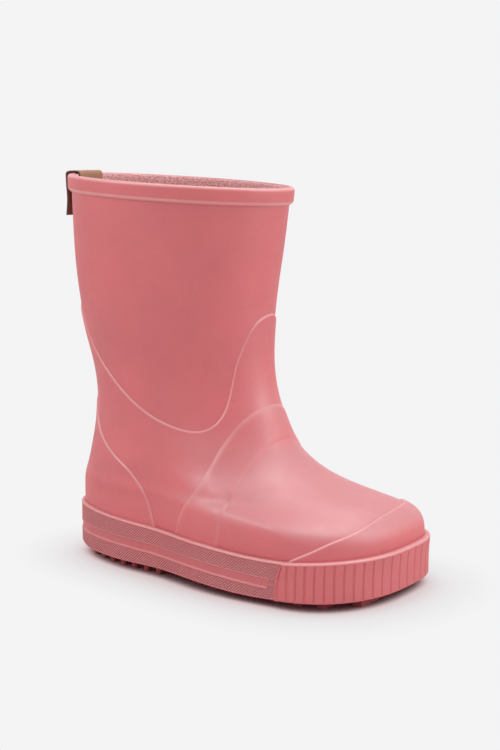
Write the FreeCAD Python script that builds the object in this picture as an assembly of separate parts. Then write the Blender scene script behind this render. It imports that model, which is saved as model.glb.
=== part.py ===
import FreeCAD, Part
import math
import os
from FreeCAD import Vector

# A child's rubber rain boot for the right foot, in millimetres.
# Frame: +Z up from the ground, +X towards the toe, +Y towards the inner ankle.
# The origin is on the ground under the middle of the sole's length.

# ---- driving dimensions -------------------------------------------------
SOLE_LENGTH = 190.0
RIM_HEIGHT = 198.4          # top of the leg at the middle of its opening
RIM_SLOPE = -0.063          # the opening drops towards the front
RIM_MIDDLE_X = -34.0
TREAD_HEIGHT = 4.0          # studs and lugs under the outsole plate
WALL_MARGIN = 3.6           # sole wall's outer face, out from the carcass
BUMPER_MARGIN = 4.6         # the toe bumper stands prouder
WALL_BOTTOM = 4.0

CARCASS = 1.6               # rubber thickness of the inner boot
GAP = 0.05                  # glue line between layers that touch
PANEL = 0.8                 # thickness of each rubber panel laid on the carcass
LINING = 0.8
LINING_DROP = 0.6           # the lining's edge is this far under the rim
BAND_HEIGHT = 8.8
BAND_THICKNESS = 1.9
BAND_CAP = 1.3              # the band's fold over the top edge

OUTSOLE_TOP = 8.0
FILLER_SPLIT_X = -10.0      # between the heel's and the forefoot's filler
CARCASS_FLOOR = 11.0
BOARD_THICKNESS = 1.6
BOARD_CLEARANCE = 0.3       # between the board and the loose footbed
FOAM_THICKNESS = 4.0
COVER_THICKNESS = 1.0
FOOTBED_CLEARANCE = 1.5     # between the loose footbed and the lining

TAB_WIDTH = 25.0
TAB_SIDE = -7.0             # y of its middle: it sits a little towards the outer side
TAB_REACH = 30.0            # how far its cutting strip reaches to both sides of the rubber
TAB_THICKNESS = 0.9
TAB_LIFT = 0.3              # clearance between the leather and the band it passes over
TAB_INSIDE = 18.0           # length of the leather glued inside the leg
TAB_OUTSIDE = 22.0          # length of the leather that hangs outside
STITCH_PITCH = 3.2
STITCH_LENGTH = 2.2
STITCH_THICKNESS = 0.5
STITCH_GAP = 0.4            # clearance between a stitch and the leather
STITCH_DROPS = (12.0, 15.5)  # depths of the two rows under the rim
STITCHES_PER_SIDE = 3

# Horizontal sections of the carcass, from the floor to above the rim:
# height, heel x, front x, half width, x of the widest place,
# power of the front curve, and how foot-like the outline is (1 foot, 0 leg).
SECTIONS = [
    (4.0, -91.4, 91.4, 42.0, 60.0, 2.30, 1.0),
    (18.0, -91.4, 91.6, 42.0, 60.0, 2.30, 1.0),
    (30.0, -91.2, 92.2, 42.2, 57.0, 2.30, 1.0),
    (37.5, -91.2, 88.2, 41.0, 45.0, 2.10, 1.0),
    (43.0, -90.3, 79.5, 37.8, 8.0, 1.65, 0.95),
    (48.5, -88.6, 59.0, 36.2, -3.0, 1.73, 0.85),
    (56.0, -86.6, 42.5, 35.1, -13.0, 1.71, 0.65),
    (66.0, -84.9, 31.3, 33.8, -19.0, 1.80, 0.40),
    (78.0, -83.0, 25.7, 33.2, -29.0, 1.90, 0.20),
    (91.0, -83.3, 20.9, 33.8, -32.0, 1.98, 0.05),
    (106.0, -85.6, 17.8, 35.9, -34.0, 2.0, 0.0),
    (124.0, -89.6, 17.1, 40.2, -36.0, 2.0, 0.0),
    (146.0, -92.6, 19.0, 44.0, -37.0, 2.0, 0.0),
    (170.0, -94.2, 22.6, 46.4, -36.0, 2.0, 0.0),
    (206.0, -95.1, 27.1, 48.1, -34.0, 2.0, 0.0),
]
HEIGHT_STEPS = 3            # surface rows between two sections
AROUND = 72                 # surface columns around the boot

# Foot outline: how the inner side differs from the outer side.
SIDE_DIFFERENCE = 2.1       # outer half is wider, inner half narrower
TOE_FULLNESS = 0.36         # added curve power across the toe
INNER_FULLNESS = 0.84       # added curve power of the inner toe
HEEL_ROUNDNESS = 0.8        # added curve power of the heel
HEEL_TAPER = 0.15
WAIST_DEPTH = 3.3
WAIST_X = -22.7
WAIST_SPREAD = 22.0
TOE_TURN = 8.9              # inward swing of the toe at the tip

# Panel outlines seen from the side: (x, z) points of smooth curves.
LEG_EDGE_SKEW = 0.2         # the leg edge is turned a little about Z
LEG_EDGE = [(-110, 143), (-96, 140), (-83, 127.5), (-71.5, 110.5), (-58.5, 98), (-44, 87.5),
            (-30, 80.5), (-19, 77.3), (-9.5, 76.2), (-2, 77.8), (3.2, 82.7), (6.2, 91),
            (8.5, 106.5), (12.2, 120.5), (16.3, 130), (22, 135.5), (40, 137)]
HEEL_EDGE = [(-98, 97), (-84.5, 91), (-76, 81), (-69.5, 70.5), (-60.5, 63), (-52, 58.3),
             (-43.5, 53.8), (-36.5, 48.3), (-31, 42.5), (-26.5, 33.5), (-22.5, 22)]
BAND_REAR = [(-11, 22), (-4.5, 39), (0.5, 46.5), (4.2, 53.5), (8.3, 65.4), (12, 75), (17.3, 84),
             (22, 89), (32, 95)]
BAND_FRONT = [(21.3, 22), (23.5, 35), (24.8, 50), (26, 60), (28.5, 68), (33, 76)]
TOE_EDGE_TILT = 0.105       # the toe edge is higher on the inner side
TOE_EDGE = [(50, 20), (60, 27.4), (70.6, 32.8), (79, 36.5), (84, 38.2), (86.3, 40.5), (86.8, 48)]

# Sole wall: (x, z) of its top line.
WALL_TOP = [(-95, 28.4), (-60, 27.3), (-20, 25.9), (15, 24.6), (50, 23.1), (75, 24.1), (95, 25.0)]
BUMPER_REAR_TOP = 57.5      # x where the toe bumper starts, at its top and bottom
BUMPER_REAR_BOTTOM = 54.0


# ---- the carcass surface -------------------------------------------------
def natural_spline(values):
    """Return f(s), a natural cubic spline through values at s = 0, 1, 2, ..."""
    count = len(values)
    lower = [0.0] * count
    right = [0.0] * count
    for i in range(1, count - 1):
        pivot = 4.0 - lower[i - 1]
        lower[i] = 1.0 / pivot
        bend = 6.0 * (values[i - 1] - 2.0 * values[i] + values[i + 1])
        right[i] = (bend - right[i - 1]) / pivot
    moments = [0.0] * count
    for i in range(count - 2, 0, -1):
        moments[i] = right[i] - lower[i] * moments[i + 1]

    def value(s):
        i = min(int(s), count - 2)
        t = s - i
        u = 1.0 - t
        straight = u * values[i] + t * values[i + 1]
        return straight + ((u ** 3 - u) * moments[i] + (t ** 3 - t) * moments[i + 1]) / 6.0

    return value


SECTION_CURVES = [natural_spline(column) for column in zip(*SECTIONS)]


def signed_power(value, power):
    return math.copysign(abs(value) ** power, value)


def outline_point(section, angle):
    """One point of a horizontal section; angle 0 is the front, 90 degrees the inner side."""
    heel, front, half_width, widest, power, foot = section
    c = math.cos(angle)
    s = math.sin(angle)
    inner = s > 0
    fullness = INNER_FULLNESS * foot if inner else 0.0
    along = power + fullness if c >= 0 else 2.0 + HEEL_ROUNDNESS * foot
    across = 2.0 + TOE_FULLNESS * foot + fullness if c >= 0 else 2.0 + HEEL_ROUNDNESS * foot
    reach = front - widest if c >= 0 else widest - heel
    x = widest + signed_power(c, 2.0 / along) * reach
    width = half_width + SIDE_DIFFERENCE * foot * (-1.0 if inner else 1.0)
    y = signed_power(s, 2.0 / across) * width
    t = min(max((widest - x) / (widest - heel), 0.0), 1.0)
    y *= 1.0 - HEEL_TAPER * foot * (3.0 * t * t - 2.0 * t ** 3)
    y -= math.copysign(WAIST_DEPTH, s) * foot * abs(s) * math.exp(-((x - WAIST_X) / WAIST_SPREAD) ** 2)
    y += TOE_TURN * foot * (max(x, 0.0) / (SOLE_LENGTH / 2)) ** 2
    return x, y


def section_ring(s, count):
    """Points at equal distances around the section at spline position s, from the front."""
    height, *shape = [curve(s) for curve in SECTION_CURVES]
    shape[-1] = min(max(shape[-1], 0.0), 1.0)
    fine = 720
    line = [outline_point(shape, 2 * math.pi * k / fine) for k in range(fine + 1)]
    travelled = [0.0]
    for a, b in zip(line, line[1:]):
        travelled.append(travelled[-1] + math.hypot(b[0] - a[0], b[1] - a[1]))
    ring = []
    k = 0
    for i in range(count):
        target = travelled[-1] * i / count
        while travelled[k + 1] < target:
            k += 1
        t = (target - travelled[k]) / (travelled[k + 1] - travelled[k])
        x = line[k][0] + t * (line[k + 1][0] - line[k][0])
        y = line[k][1] + t * (line[k + 1][1] - line[k][1])
        ring.append(Vector(x, y, height))
    return ring


def carcass_rings():
    last = len(SECTIONS) - 1
    rows = last * HEIGHT_STEPS
    return [section_ring(last * row / rows, AROUND) for row in range(rows + 1)]


RINGS = carcass_rings()


def ring_normal(row, column):
    """Outward unit normal of the carcass surface at one grid point."""
    ring = RINGS[row]
    around = ring[(column + 1) % AROUND] - ring[column - 1]
    above = RINGS[min(row + 1, len(RINGS) - 1)][column]
    below = RINGS[max(row - 1, 0)][column]
    normal = around.cross(above - below)
    return normal.normalize()


NORMALS = [[ring_normal(row, column) for column in range(AROUND)] for row in range(len(RINGS))]


def offset_rings(distance):
    """The carcass surface moved out by distance; its lowest and highest rings stay level."""
    moved = []
    for row, ring in enumerate(RINGS):
        new_ring = [point + NORMALS[row][column] * distance for column, point in enumerate(ring)]
        if row in (0, len(RINGS) - 1):
            new_ring = [Vector(point.x, point.y, ring[0].z) for point in new_ring]
        moved.append(new_ring)
    return moved


def solid_inside(distance):
    """Solid bounded by the carcass surface moved out by distance."""
    rings = offset_rings(distance)
    poles = [[rings[row][column] for row in range(len(rings))] for column in range(AROUND)]
    rows = len(rings)
    surface = Part.BSplineSurface()
    surface.buildFromPolesMultsKnots(
        poles,
        [1] * (AROUND + 1),
        [4] + [1] * (rows - 4) + [4],
        list(range(AROUND + 1)),
        list(range(rows - 2)),
        True, False, 3, 3)
    side = surface.toShape()
    caps = []
    for edge in side.Edges:
        low, high = edge.BoundBox.ZMin, edge.BoundBox.ZMax
        if high - low < 0.01:
            caps.append(Part.Face(Part.Wire([edge])))
    shell = Part.Shell([side] + caps)
    shell.sewShape()
    solid = Part.Solid(shell)
    if solid.Volume < 0:
        solid.reverse()
    return solid


# ---- cutting tools --------------------------------------------------------
REACH = 150.0               # larger than half of the boot in every direction


def slab(z_low, z_high):
    return Part.makeBox(2 * REACH, 2 * REACH, z_high - z_low, Vector(-REACH, -REACH, z_low))


def below_rim(drop):
    """Everything lower than the sloping plane of the opening, moved down by drop."""
    angle = math.degrees(math.atan(-RIM_SLOPE))
    block = Part.makeBox(2 * REACH, 2 * REACH, 2 * REACH, Vector(-REACH, -REACH, -2 * REACH))
    block.rotate(Vector(0, 0, 0), Vector(0, 1, 0), angle)
    block.translate(Vector(RIM_MIDDLE_X, 0, RIM_HEIGHT - drop))
    return block


def smooth_line(points):
    curve = Part.BSplineCurve()
    curve.interpolate([Vector(x, -REACH, z) for x, z in points])
    return curve.toShape()


def sheared(solid, x_with_y=0.0, z_with_y=0.0):
    """Move every point along X and Z in proportion to its y."""
    matrix = FreeCAD.Matrix()
    matrix.A12 = x_with_y
    matrix.A32 = z_with_y
    return solid.transformGeometry(matrix)


def region_below(points):
    """Everything under a curve drawn in the side view, straight through the boot."""
    low_z = -10.0
    first, last = points[0], points[-1]
    corners = [(last[0], last[1]), (REACH, last[1]), (REACH, low_z),
               (-REACH, low_z), (-REACH, first[1]), (first[0], first[1])]
    rest = Part.makePolygon([Vector(x, -REACH, z) for x, z in corners])
    face = Part.Face(Part.Wire([smooth_line(points)] + rest.Edges))
    return face.extrude(Vector(0, 2 * REACH, 0))


def region_between(rear, front):
    """Everything between two rising curves drawn in the side view."""
    back = smooth_line(rear)
    face_edges = [back, smooth_line(front)]
    for a, b in ((rear[-1], front[-1]), (front[0], rear[0])):
        face_edges.append(Part.makeLine(Vector(a[0], -REACH, a[1]), Vector(b[0], -REACH, b[1])))
    face = Part.Face(Part.Wire(Part.__sortEdges__(face_edges)))
    return face.extrude(Vector(0, 2 * REACH, 0))


def layer(inner, outer):
    return LEVELS[outer].cut(LEVELS[inner])


def keep_largest(shape):
    return max(shape.Solids, key=lambda solid: solid.Volume)


# ---- offset levels, out from the carcass surface ----------------------------
CARCASS_IN = -CARCASS
LINING_OUT = CARCASS_IN - GAP
LINING_IN = LINING_OUT - LINING
TAB_OUT = LINING_IN - GAP
TAB_IN = TAB_OUT - TAB_THICKNESS
FOOTBED_EDGE = LINING_IN - FOOTBED_CLEARANCE
PANEL_IN = GAP
PANEL_OUT = PANEL
SECOND_IN = PANEL + GAP
SECOND_OUT = 2 * PANEL
BAND_OUT = BAND_THICKNESS

LEVELS = {distance: solid_inside(distance) for distance in (
    0.0, CARCASS_IN, LINING_OUT, LINING_IN, TAB_OUT, TAB_IN, FOOTBED_EDGE, PANEL_IN, PANEL_OUT,
    SECOND_IN, SECOND_OUT, BAND_OUT, WALL_MARGIN, BUMPER_MARGIN)}

LINING_FLOOR = CARCASS_FLOOR + CARCASS + GAP
BOARD_BOTTOM = LINING_FLOOR + LINING + GAP
FOAM_BOTTOM = BOARD_BOTTOM + BOARD_THICKNESS + BOARD_CLEARANCE
COVER_BOTTOM = FOAM_BOTTOM + FOAM_THICKNESS
LINING_SPLIT = 80.0         # height where the leg lining is sewn to the foot lining
RIM_TOP = RIM_HEIGHT + 10.0


# ---- sole -------------------------------------------------------------------
STUD_RADIUS = 1.7
STUD_PITCH = 8.6
STUD_ROWS = 7
FOREMOST_STUD_X = -26.0
STUD_EDGE = 4.2             # from the carcass's side to the outermost studs
TREAD_ROOT = 1.0            # how far studs and lugs reach up into the outsole plate
LUG_LENGTH = 5.0            # along the boot
LUG_PITCH = 12.0
LUG_ROWS = 8
LUG_EDGE = 7.0
TOE_LUG_EDGE = 9.0          # the foremost row is shorter
MIDDLE_LUG = 10.0           # its width
LUG_SPACE = 3.0             # between the lugs of one row


def outsole_width(x, margin):
    """Inner and outer y of the outsole at x, reduced by a margin."""
    shape = [curve(0.0) for curve in SECTION_CURVES][1:]
    line = [outline_point(shape, 2 * math.pi * k / 720) for k in range(720)]
    near = [y for px, y in line if abs(px - x) < 1.5]
    return min(near) + margin, max(near) - margin


def heel_studs():
    studs = []
    for row in range(STUD_ROWS):
        x = FOREMOST_STUD_X - row * STUD_PITCH
        low, high = outsole_width(x, STUD_EDGE)
        gaps = round((high - low) / STUD_PITCH)
        for k in range(gaps + 1):
            place = Vector(x, low + (high - low) * k / gaps, 0)
            studs.append(Part.makeCylinder(STUD_RADIUS, TREAD_HEIGHT + TREAD_ROOT, place))
    return studs


def forefoot_lugs():
    lugs = []
    for row in range(LUG_ROWS):
        x = row * LUG_PITCH
        low, high = outsole_width(x, LUG_EDGE if row < LUG_ROWS - 1 else TOE_LUG_EDGE)
        middle = (low + high) / 2
        half = MIDDLE_LUG / 2
        side = half + LUG_SPACE
        for a, b in ((low, middle - side), (middle - half, middle + half), (middle + side, high)):
            corner = Vector(x - LUG_LENGTH / 2, a, 0)
            lugs.append(Part.makeBox(LUG_LENGTH, b - a, TREAD_HEIGHT + TREAD_ROOT, corner))
    return lugs


def outsole():
    plate = LEVELS[PANEL_OUT].common(slab(TREAD_HEIGHT + 0.5, OUTSOLE_TOP))
    return plate.multiFuse(heel_studs() + forefoot_lugs())


def filler(x_low, x_high):
    block = Part.makeBox(x_high - x_low, 2 * REACH, CARCASS_FLOOR - OUTSOLE_TOP - 2 * GAP,
                         Vector(x_low, -REACH, OUTSOLE_TOP + GAP))
    return LEVELS[0.0].common(block)


def bumper_region():
    """The front of the boot, ahead of the bumper's slanting rear end."""
    wall_height = WALL_TOP[-1][1] - WALL_BOTTOM
    slant = (BUMPER_REAR_TOP - BUMPER_REAR_BOTTOM) / wall_height
    top_x = BUMPER_REAR_TOP + wall_height * slant
    top_z = WALL_BOTTOM + 2 * wall_height
    points = [(BUMPER_REAR_BOTTOM, WALL_BOTTOM), (top_x, top_z), (REACH, top_z), (REACH, WALL_BOTTOM)]
    wire = Part.makePolygon([Vector(x, -REACH, z) for x, z in points + points[:1]])
    return Part.Face(wire).extrude(Vector(0, 2 * REACH, 0))


def sole_wall(margin):
    ring = layer(PANEL_OUT, margin).common(slab(WALL_BOTTOM, 40.0))
    return ring.common(region_below(WALL_TOP))


# ---- upper --------------------------------------------------------------------
def inner_boot():
    outside = LEVELS[0.0].common(below_rim(BAND_CAP + GAP)).common(slab(CARCASS_FLOOR, RIM_TOP))
    inside = LEVELS[CARCASS_IN].common(slab(CARCASS_FLOOR + CARCASS, RIM_TOP))
    return outside.cut(inside)


def foot_lining():
    outside = LEVELS[LINING_OUT].common(slab(LINING_FLOOR, LINING_SPLIT))
    inside = LEVELS[LINING_IN].common(slab(LINING_FLOOR + LINING, RIM_TOP))
    return outside.cut(inside)


def leg_lining():
    tube = layer(LINING_IN, LINING_OUT)
    return tube.common(below_rim(LINING_DROP)).common(slab(LINING_SPLIT + GAP, RIM_TOP))


def first_panels():
    """The panel layer laid straight on the carcass, down to its lap behind the sole wall."""
    return layer(PANEL_IN, PANEL_OUT).common(slab(CARCASS_FLOOR + 1.0, 150.0))


def above_wall():
    """Everything above the sole wall's top line."""
    return slab(0.0, 150.0).cut(region_below([(x, z + GAP) for x, z in WALL_TOP]))


def toe_region():
    """Everything ahead of the toe cap's rear edge, as its curve shows from the side."""
    first, last = TOE_EDGE[0], TOE_EDGE[-1]
    corners = [(last[0], last[1]), (REACH, last[1]), (REACH, first[1]), (first[0], first[1])]
    rest = Part.makePolygon([Vector(x, -REACH, z) for x, z in corners])
    face = Part.Face(Part.Wire([smooth_line(TOE_EDGE)] + rest.Edges))
    return sheared(face.extrude(Vector(0, 2 * REACH, 0)), z_with_y=TOE_EDGE_TILT)


def top_band():
    outside = LEVELS[BAND_OUT].common(below_rim(0.0)).cut(below_rim(BAND_HEIGHT))
    covered = LEVELS[PANEL_IN].common(below_rim(BAND_CAP))
    return outside.cut(covered).cut(LEVELS[CARCASS_IN])


# ---- pull tab -------------------------------------------------------------------
def heel_place(y, z):
    """x of the carcass at the back of the leg, and how far its outward side turns from -X."""
    heights = SECTION_CURVES[0]
    s = 0.0
    while heights(s) < z:
        s += 0.01
    shape = [curve(s) for curve in SECTION_CURVES][1:]
    line = [outline_point(shape, math.pi + 0.004 * k) for k in range(-150, 151)]
    nearest = min(range(1, 300), key=lambda k: abs(line[k][1] - y))
    before, after = line[nearest - 1], line[nearest + 1]
    return line[nearest][0], math.atan2(after[0] - before[0], before[1] - after[1])


def at_heel(solid, y, z):
    """Move a solid from the origin to the back of the leg, with its -X side outwards."""
    x, turn = heel_place(y, z)
    solid.rotate(Vector(0, 0, 0), Vector(0, 0, 1), math.degrees(turn))
    solid.translate(Vector(x, y, 0))
    return solid


def tab_strip(inner, outer, top_drop, bottom_drop):
    """A strip as wide as the pull tab, between two depths under the rim plane."""
    strip = Part.makeBox(outer - inner, TAB_WIDTH, 2 * REACH, Vector(-outer, -TAB_WIDTH / 2, 0))
    strip = at_heel(strip, TAB_SIDE, RIM_HEIGHT)
    return strip.common(below_rim(top_drop)).cut(below_rim(bottom_drop))


def pull_tab_anchor():
    """Leather glued inside the leg, with the part that passes over the rim."""
    inside = layer(TAB_IN, TAB_OUT).common(tab_strip(-TAB_REACH, TAB_REACH, -TAB_LIFT, TAB_INSIDE))
    over = tab_strip(-TAB_REACH, TAB_REACH, -TAB_LIFT - TAB_THICKNESS, -TAB_LIFT)
    return inside.fuse(layer(TAB_IN, BAND_OUT).common(over))


def pull_tab_tail():
    """The flat stiff end that hangs outside, clear of the band."""
    inner = BAND_THICKNESS + TAB_LIFT
    return tab_strip(inner, inner + TAB_THICKNESS, TAB_LIFT, TAB_OUTSIDE)


def pull_tab_stitches():
    """Two level rows of short stitches that hold the leather inside the leg."""
    stitches = []
    for drop in STITCH_DROPS:
        for k in range(-STITCHES_PER_SIDE, STITCHES_PER_SIDE + 1):
            y = TAB_SIDE + k * STITCH_PITCH
            z = RIM_HEIGHT + RIM_SLOPE * (heel_place(y, RIM_HEIGHT)[0] - RIM_MIDDLE_X) - drop
            corner = Vector(STITCH_GAP - TAB_IN, -STITCH_LENGTH / 2, z)
            stitch = Part.makeBox(STITCH_THICKNESS, STITCH_LENGTH, STITCH_THICKNESS, corner)
            stitches.append(at_heel(stitch, y, z))
    return Part.makeCompound(stitches)


# ---- write the nodes ------------------------------------------------------------
def build_nodes():
    front = bumper_region()
    panels = first_panels()
    raised = layer(SECOND_IN, SECOND_OUT).common(above_wall())
    leg_side = sheared(region_below(LEG_EDGE), x_with_y=-LEG_EDGE_SKEW)
    heel_side = region_below(HEEL_EDGE)
    band = region_between(BAND_REAR, BAND_FRONT)
    return {
        "outsole": outsole(),
        "heel_filler": filler(-REACH, FILLER_SPLIT_X - GAP),
        "forefoot_filler": filler(FILLER_SPLIT_X, REACH),
        "foxing_strip": keep_largest(sole_wall(WALL_MARGIN).cut(front)),
        "toe_bumper": keep_largest(sole_wall(BUMPER_MARGIN).common(front)),
        "inner_boot": inner_boot(),
        "foot_lining": foot_lining(),
        "leg_lining": leg_lining(),
        "insole_board": LEVELS[LINING_IN].common(slab(BOARD_BOTTOM, BOARD_BOTTOM + BOARD_THICKNESS)),
        "foot_overlay": keep_largest(panels.common(leg_side)),
        "heel_counter": keep_largest(raised.common(heel_side)),
        "instep_band": keep_largest(raised.common(band)),
        "toe_cap": keep_largest(raised.common(toe_region())),
        "top_band": top_band(),
        "pull_tab_anchor": pull_tab_anchor(),
        "pull_tab_tail": pull_tab_tail(),
        "pull_tab_stitches": pull_tab_stitches(),
        "footbed_foam": LEVELS[FOOTBED_EDGE].common(slab(FOAM_BOTTOM, COVER_BOTTOM)),
        "footbed_cover": LEVELS[FOOTBED_EDGE].common(slab(COVER_BOTTOM, COVER_BOTTOM + COVER_THICKNESS)),
    }


os.makedirs("parts", exist_ok=True)
for name, shape in build_nodes().items():
    box = shape.BoundBox
    size = " ".join(f"{v:.1f}" for v in (box.XMin, box.YMin, box.ZMin, box.XMax, box.YMax, box.ZMax))
    print(name, shape.ShapeType, len(shape.Solids), "solids", shape.isValid(), f"{shape.Volume:.0f}", size)
    shape.exportStep(f"parts/{name}.step")
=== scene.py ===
import math

import bmesh
import bpy
import numpy as np
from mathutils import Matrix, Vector


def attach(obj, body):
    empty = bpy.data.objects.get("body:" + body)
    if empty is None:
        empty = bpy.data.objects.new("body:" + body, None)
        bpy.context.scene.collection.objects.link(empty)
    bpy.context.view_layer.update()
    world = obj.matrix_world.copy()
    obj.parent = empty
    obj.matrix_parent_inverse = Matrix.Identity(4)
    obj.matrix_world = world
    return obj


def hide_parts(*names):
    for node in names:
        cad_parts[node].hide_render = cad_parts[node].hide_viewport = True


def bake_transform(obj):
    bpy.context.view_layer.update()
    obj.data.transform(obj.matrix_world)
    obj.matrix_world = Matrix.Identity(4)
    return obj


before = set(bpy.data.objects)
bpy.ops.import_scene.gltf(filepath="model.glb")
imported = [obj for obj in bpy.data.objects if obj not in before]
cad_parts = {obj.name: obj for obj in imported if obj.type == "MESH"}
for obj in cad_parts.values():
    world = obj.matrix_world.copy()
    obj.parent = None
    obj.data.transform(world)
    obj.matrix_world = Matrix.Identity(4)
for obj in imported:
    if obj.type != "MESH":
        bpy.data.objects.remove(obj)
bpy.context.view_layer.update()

# A child's rubber rain boot for the right foot. Shapes are worked out in millimetres and
# written to the meshes in metres. +Z is up, +X towards the toe, +Y towards the inner ankle.

# ---- driving dimensions, the same as the CAD part's ------------------------------
MM = 0.001
SOLE_LENGTH = 190.0
RIM_HEIGHT = 198.4
RIM_SLOPE = -0.063
RIM_MIDDLE_X = -34.0
WALL_MARGIN = 3.6
BUMPER_MARGIN = 4.6
WALL_BOTTOM = 4.0
CARCASS = 1.6
PANEL = 0.8
LINING_OUT = -1.65
LINING_IN = -2.45
LINING_SPLIT = 80.0
LINING_FLOOR = 12.65
BAND_HEIGHT = 8.8
BAND_THICKNESS = 1.9
FOOTBED_EDGE = -3.95
FOAM_BOTTOM = 15.4
FOAM_TOP = 19.4
COVER_TOP = 20.4
TAB_WIDTH = 25.0
TAB_SIDE = -7.0
TAB_THICKNESS = 0.9
TAB_LIFT = 0.3

# Horizontal sections: height, heel x, front x, half width, x of the widest place,
# power of the front curve, and how foot-like the outline is (1 foot, 0 leg).
SECTIONS = np.array([
    (4.0, -91.4, 91.4, 42.0, 60.0, 2.30, 1.0),
    (18.0, -91.4, 91.6, 42.0, 60.0, 2.30, 1.0),
    (30.0, -91.2, 92.2, 42.2, 57.0, 2.30, 1.0),
    (37.5, -91.2, 88.2, 41.0, 45.0, 2.10, 1.0),
    (43.0, -90.3, 79.5, 37.8, 8.0, 1.65, 0.95),
    (48.5, -88.6, 59.0, 36.2, -3.0, 1.73, 0.85),
    (56.0, -86.6, 42.5, 35.1, -13.0, 1.71, 0.65),
    (66.0, -84.9, 31.3, 33.8, -19.0, 1.80, 0.40),
    (78.0, -83.0, 25.7, 33.2, -29.0, 1.90, 0.20),
    (91.0, -83.3, 20.9, 33.8, -32.0, 1.98, 0.05),
    (106.0, -85.6, 17.8, 35.9, -34.0, 2.0, 0.0),
    (124.0, -89.6, 17.1, 40.2, -36.0, 2.0, 0.0),
    (146.0, -92.6, 19.0, 44.0, -37.0, 2.0, 0.0),
    (170.0, -94.2, 22.6, 46.4, -36.0, 2.0, 0.0),
    (206.0, -95.1, 27.1, 48.1, -34.0, 2.0, 0.0),
])
SIDE_DIFFERENCE = 2.1
TOE_FULLNESS = 0.36
INNER_FULLNESS = 0.84
HEEL_ROUNDNESS = 0.8
HEEL_TAPER = 0.15
WAIST_DEPTH = 3.3
WAIST_X = -22.7
WAIST_SPREAD = 22.0
TOE_TURN = 8.9

LEG_EDGE_SKEW = 0.2
LEG_EDGE = [(-110, 143), (-96, 140), (-83, 127.5), (-71.5, 110.5), (-58.5, 98), (-44, 87.5),
            (-30, 80.5), (-19, 77.3), (-9.5, 76.2), (-2, 77.8), (3.2, 82.7), (6.2, 91),
            (8.5, 106.5), (12.2, 120.5), (16.3, 130), (22, 135.5), (40, 137)]
HEEL_EDGE = [(-98, 97), (-84.5, 91), (-76, 81), (-69.5, 70.5), (-60.5, 63), (-52, 58.3),
             (-43.5, 53.8), (-36.5, 48.3), (-31, 42.5), (-26.5, 33.5), (-22.5, 22)]
BAND_REAR = [(-11, 22), (-4.5, 39), (0.5, 46.5), (4.2, 53.5), (8.3, 65.4), (12, 75), (17.3, 84),
             (22, 89), (32, 95)]
BAND_FRONT = [(21.3, 22), (23.5, 35), (24.8, 50), (26, 60), (28.5, 68), (33, 76)]
TOE_EDGE_TILT = 0.105
TOE_EDGE = [(50, 20), (60, 27.4), (70.6, 32.8), (79, 36.5), (84, 38.2), (86.3, 40.5), (86.8, 48)]
WALL_TOP = [(-95, 28.4), (-60, 27.3), (-20, 25.9), (15, 24.6), (50, 23.1), (75, 24.1), (95, 25.0)]
WALL_FOOT = [(-95, 4.6), (-60, 4.8), (-30, 5.2), (0, 5.4), (15, 4.8), (30, 4.1), (50, 4.0), (65, 4.5),
             (95, 4.6)]
CHANNEL_MIDDLE = [(-95, 15.8), (-45, 15.7), (-15, 15.1), (0, 14.9), (15, 14.3), (30, 13.4), (45, 12.6),
                  (60, 12.2)]
BUMPER_REAR_BOTTOM = 54.0
BUMPER_REAR_TOP = 57.5


# ---- the boot's surface ----------------------------------------------------------
def natural_spline(knots, values):
    """Return f(t), a natural cubic spline; values may have several columns."""
    knots = np.asarray(knots, float)
    values = np.asarray(values, float).reshape(len(knots), -1)
    steps = np.diff(knots)
    matrix = np.eye(len(knots))
    bends = np.zeros_like(values)
    for i in range(1, len(knots) - 1):
        matrix[i, i - 1:i + 2] = steps[i - 1], 2 * (steps[i - 1] + steps[i]), steps[i]
        bends[i] = 6 * ((values[i + 1] - values[i]) / steps[i] - (values[i] - values[i - 1]) / steps[i - 1])
    moments = np.linalg.solve(matrix, bends)

    def value(t):
        t = np.asarray(t, float)
        i = np.clip(np.searchsorted(knots, t, side="right") - 1, 0, len(steps) - 1)
        h = steps[i][:, None]
        b = (t - knots[i])[:, None] / h
        a = 1 - b
        curve = (a ** 3 - a) * moments[i] + (b ** 3 - b) * moments[i + 1]
        return a * values[i] + b * values[i + 1] + curve * h ** 2 / 6

    return value


def side_curve(points):
    """A smooth curve through (x, z) points as two dense arrays, with long straight ends."""
    points = np.array(points, float)
    chords = np.hypot(*np.diff(points, axis=0).T)
    knots = np.concatenate([[0.0], np.cumsum(chords)])
    line = natural_spline(knots, points)(np.linspace(0, knots[-1], 900))
    before = line[0] + (line[0] - line[9]) * 60
    after = line[-1] + (line[-1] - line[-10]) * 60
    line = np.vstack([before, line, after])
    return line[:, 0], line[:, 1]


def signed_power(value, power):
    return np.sign(value) * np.abs(value) ** power


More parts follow.
